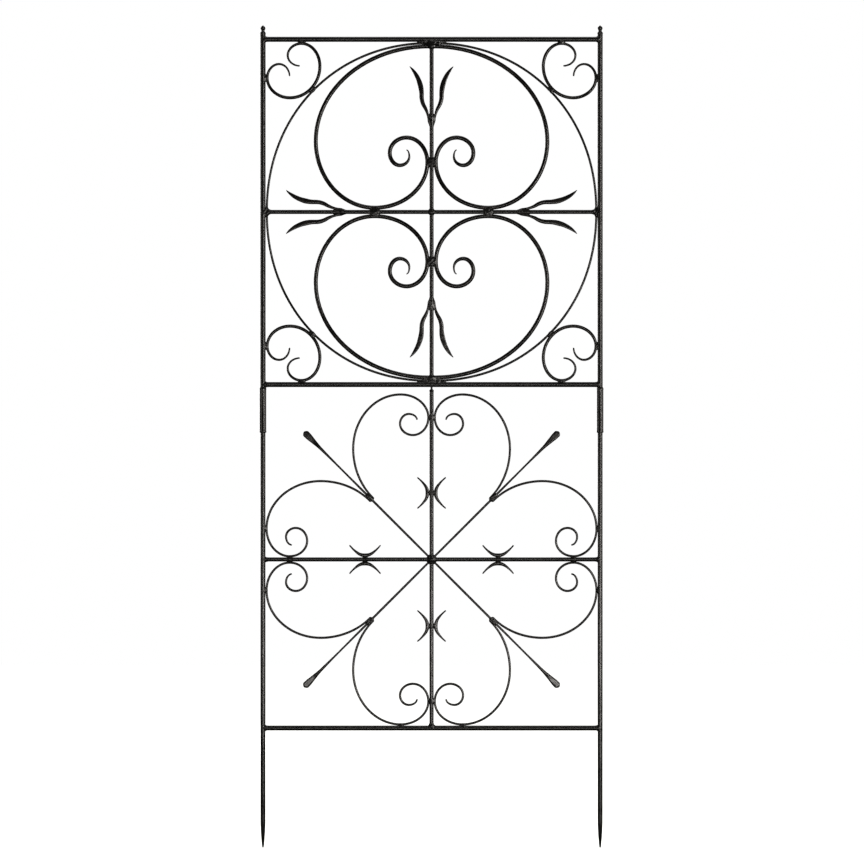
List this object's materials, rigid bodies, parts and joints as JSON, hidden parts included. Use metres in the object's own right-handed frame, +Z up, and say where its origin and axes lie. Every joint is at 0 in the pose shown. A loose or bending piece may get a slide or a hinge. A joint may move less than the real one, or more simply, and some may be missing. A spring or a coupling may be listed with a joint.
{
  "type": "garden trellis panel",
  "caption": "Tall flat two-section metal garden trellis with ring, scrolls, leaves, hearts and pointed ground stakes; the upper section lifts off the posts.",
  "frame": {"origin": "middle of the bounding box at the tips of the two stakes", "axes": "+X to the right along the panel, +Y through the panel to its back, +Z up"},
  "size_m": [0.765, 0.015, 1.829],
  "materials": {
    "black_paint": "satin black powder coat on forged round steel rod",
    "weld_paint": "satin black powder coat over rough weld metal"
  },
  "bodies": {
    "lower_panel": {"left_post": "black_paint", "right_post": "black_paint", "bottom_rail": "black_paint", "lower_centre_bar": "black_paint", "lower_mid_bar_left": "black_paint", "lower_mid_bar_right": "black_paint", "ray_top_left": "black_paint", "ray_top_right": "black_paint", "ray_bottom_left": "black_paint", "ray_bottom_right": "black_paint", "heart_scroll_top_left": "black_paint", "heart_scroll_top_right": "black_paint", "heart_scroll_bottom_left": "black_paint", "heart_scroll_bottom_right": "black_paint", "heart_scroll_left_top": "black_paint", "heart_scroll_right_top": "black_paint", "heart_scroll_left_bottom": "black_paint", "heart_scroll_right_bottom": "black_paint", "crescent_top_left": "black_paint", "crescent_top_right": "black_paint", "crescent_bottom_left": "black_paint", "crescent_bottom_right": "black_paint", "crescent_left_top": "black_paint", "crescent_right_top": "black_paint", "crescent_left_bottom": "black_paint", "crescent_right_bottom": "black_paint", "lower_welds": "weld_paint"},
    "upper_panel": {"left_stile": "black_paint", "right_stile": "black_paint", "left_sleeve": "black_paint", "right_sleeve": "black_paint", "left_finial": "black_paint", "right_finial": "black_paint", "top_rail": "black_paint", "seam_rail": "black_paint", "upper_centre_bar": "black_paint", "upper_mid_bar_left": "black_paint", "upper_mid_bar_right": "black_paint", "ring": "black_paint", "big_scroll_top_left": "black_paint", "big_scroll_top_right": "black_paint", "big_scroll_bottom_left": "black_paint", "big_scroll_bottom_right": "black_paint", "corner_scroll_top_left": "black_paint", "corner_scroll_top_right": "black_paint", "corner_scroll_bottom_left": "black_paint", "corner_scroll_bottom_right": "black_paint", "leaf_top_left": "black_paint", "leaf_top_right": "black_paint", "leaf_bottom_left": "black_paint", "leaf_bottom_right": "black_paint", "leaf_left_top": "black_paint", "leaf_right_top": "black_paint", "leaf_left_bottom": "black_paint", "leaf_right_bottom": "black_paint", "upper_welds": "weld_paint"}
  },
  "joints": [
    {"name": "panel_lift", "type": "slide", "parent": "lower_panel", "child": "upper_panel", "axis": [0, 0, 1], "range_m": [0, 0.12]}
  ]
}
